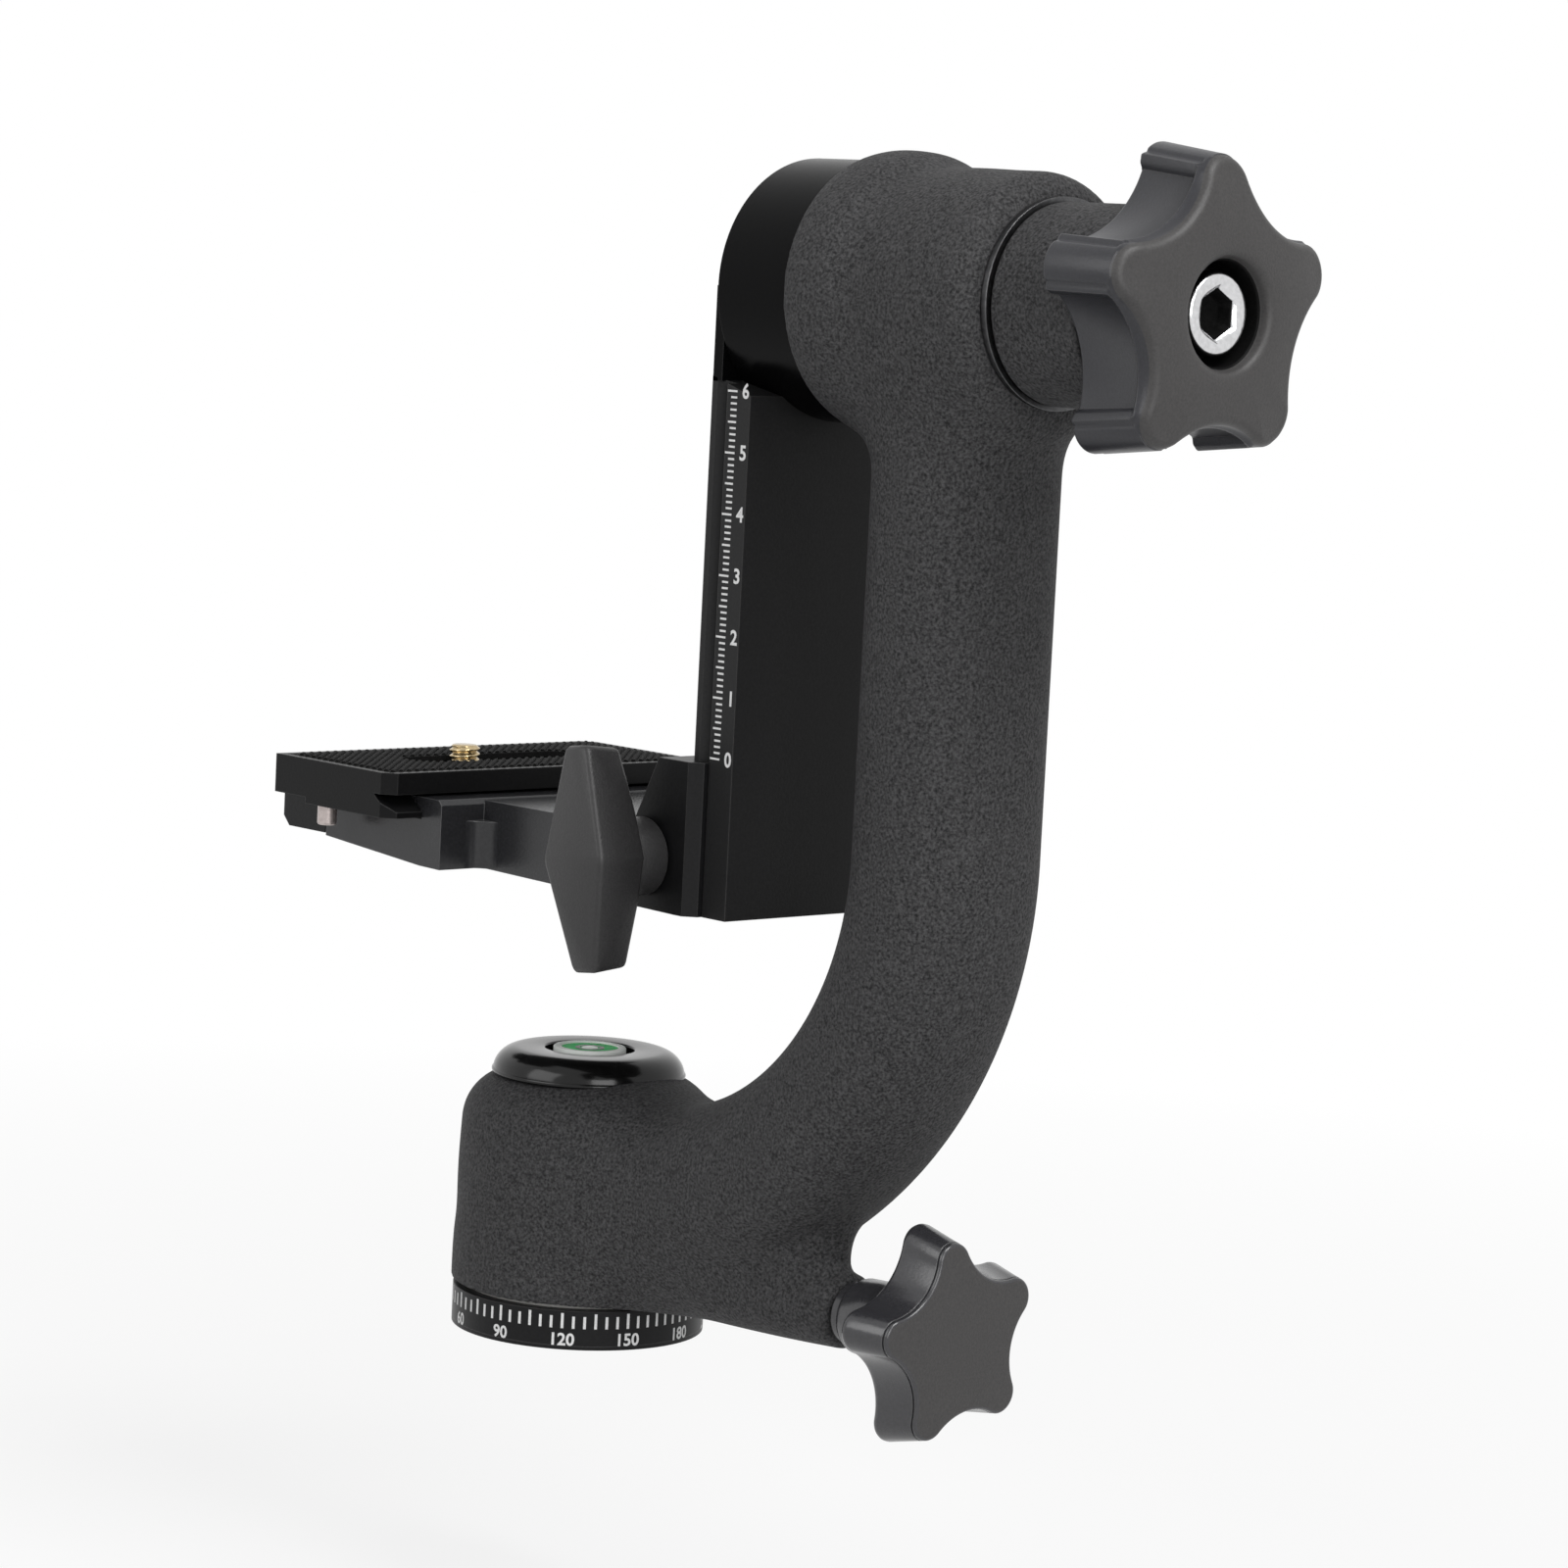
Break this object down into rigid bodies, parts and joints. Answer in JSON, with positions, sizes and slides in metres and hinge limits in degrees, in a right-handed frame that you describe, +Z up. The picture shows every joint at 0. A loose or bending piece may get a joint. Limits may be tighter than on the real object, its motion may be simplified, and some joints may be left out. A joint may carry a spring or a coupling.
{
  "type": "gimbal tripod head",
  "caption": "Side-mounted gimbal tripod head: graduated pan base, cast C-arm, swinging rail with a height-adjustable platform and dovetail plate.",
  "frame": {"origin": "centre of the base's underside, on the pan axis, at the mouth of the tripod thread", "axes": "+Z up along the pan axis, +X along the tilt axis towards its knob, +Y the lens direction"},
  "size_m": [0.2421, 0.0848, 0.2485],
  "materials": {
    "casting": "dark grey powder coat with a fine speckle",
    "anodised": "black anodised, satin",
    "ring": "black anodised with pale printed marks",
    "cap": "gloss black",
    "cup": "pale, satin",
    "fluid": "clear green",
    "lens": "clear",
    "knob": "dark grey, fine grain",
    "steel": "plain turned steel",
    "bright": "polished",
    "bronze": "bearing bronze",
    "brass": "plain brass",
    "washer": "white bearing plastic",
    "rubber": "black, ribbed"
  },
  "bodies": {
    "base": {"base_plate": "anodised", "degree_ring": "ring", "pan_spindle": "steel", "base_screws": "steel", "pan_thrust_washer": "washer", "nut_washer": "steel", "spindle_nut": "steel"},
    "arm": {"arm_casting": "casting", "pan_bush": "bronze", "level_cap": "cap", "level_cup": "cup", "level_fluid": "fluid", "level_lens": "lens", "tilt_bush_rear": "bronze", "tilt_bush_front": "bronze", "pan_lock_insert": "brass"},
    "pan_pad": {"pan_brake_pad": "washer"},
    "pan_lock": {"pan_lock_stud": "steel", "pan_lock_knob": "knob"},
    "swing": {"swing_arm": "anodised", "tilt_spindle": "steel", "flange_screws": "steel", "tilt_thrust_washer": "washer", "rail_stop_pin": "steel", "knob_washer": "bright", "knob_screw": "bright"},
    "tilt_clamp": {"steel_washer": "bright", "friction_disc": "casting"},
    "tilt_lock": {"tilt_knob": "knob", "tilt_knob_insert": "steel"},
    "platform": {"platform_bracket": "anodised", "guide_pins": "steel"},
    "rail_clamp": {"rail_jaw": "anodised"},
    "rail_wing": {"wing_knob": "knob", "wing_stud": "steel"},
    "plate_clamp": {"plate_jaw": "anodised"},
    "plate_wing": {"plate_knob": "knob", "plate_stud": "steel"},
    "plate": {"quick_plate": "anodised", "plate_pad": "rubber", "plate_stop_screws": "bright"},
    "screw_carrier": {"screw_clip": "steel"},
    "screw": {"camera_screw": "brass"}
  },
  "joints": [
    {"name": "pan", "type": "hinge", "parent": "base", "child": "arm", "pos_m": [0, 0, 0], "axis": [0, 0, 1], "continuous": true},
    {"name": "pan_pad_slide", "type": "slide", "parent": "arm", "child": "pan_pad", "axis": [1, 0, 0], "range_m": [0, 0.0008]},
    {"name": "pan_lock_turn", "type": "hinge", "parent": "pan_pad", "child": "pan_lock", "pos_m": [0.08, 0, 0.0184], "axis": [1, 0, 0], "range_deg": [0, 270]},
    {"name": "tilt", "type": "hinge", "parent": "arm", "child": "swing", "pos_m": [0.1, 0, 0.2155], "axis": [1, 0, 0], "continuous": true},
    {"name": "tilt_clamp_slide", "type": "slide", "parent": "swing", "child": "tilt_clamp", "axis": [1, 0, 0], "range_m": [0, 0.0011]},
    {"name": "tilt_lock_turn", "type": "hinge", "parent": "tilt_clamp", "child": "tilt_lock", "pos_m": [0.15, 0, 0.2155], "axis": [1, 0, 0], "range_deg": [0, 240]},
    {"name": "height", "type": "slide", "parent": "swing", "child": "platform", "axis": [0, 0, 1], "range_m": [0, 0.07]},
    {"name": "rail_clamp_slide", "type": "slide", "parent": "platform", "child": "rail_clamp", "axis": [0, -1, 0], "range_m": [0, 0.0008]},
    {"name": "rail_wing_turn", "type": "hinge", "parent": "rail_clamp", "child": "rail_wing", "pos_m": [0.0446, -0.03, 0.1044], "axis": [0, -1, 0], "range_deg": [0, 270]},
    {"name": "plate_clamp_slide", "type": "slide", "parent": "platform", "child": "plate_clamp", "axis": [-1, 0, 0], "range_m": [0, 0.0031]},
    {"name": "plate_wing_turn", "type": "hinge", "parent": "plate_clamp", "child": "plate_wing", "pos_m": [-0.06, 0, 0.1016], "axis": [-1, 0, 0], "range_deg": [0, 1080]},
    {"name": "plate_slide", "type": "slide", "parent": "platform", "child": "plate", "axis": [0, 1, 0], "range_m": [-0.0004, 0.004]},
    {"name": "screw_slide", "type": "slide", "parent": "plate", "child": "screw_carrier", "axis": [0, 1, 0], "range_m": [-0.0098, 0.025]},
    {"name": "screw_turn", "type": "hinge", "parent": "screw_carrier", "child": "screw", "pos_m": [-0.0337, -0.0094, 0.11], "axis": [0, 0, 1], "continuous": true}
  ],
  "couplings": [
    {"joint": "pan_pad_slide", "follows": "pan_lock_turn", "m_per_rad": 0.00015915},
    {"joint": "tilt_clamp_slide", "follows": "tilt_lock_turn", "m_per_rad": 0.00023873},
    {"joint": "rail_clamp_slide", "follows": "rail_wing_turn", "m_per_rad": 0.00015915},
    {"joint": "plate_clamp_slide", "follows": "plate_wing_turn", "m_per_rad": 0.00015915}
  ]
}
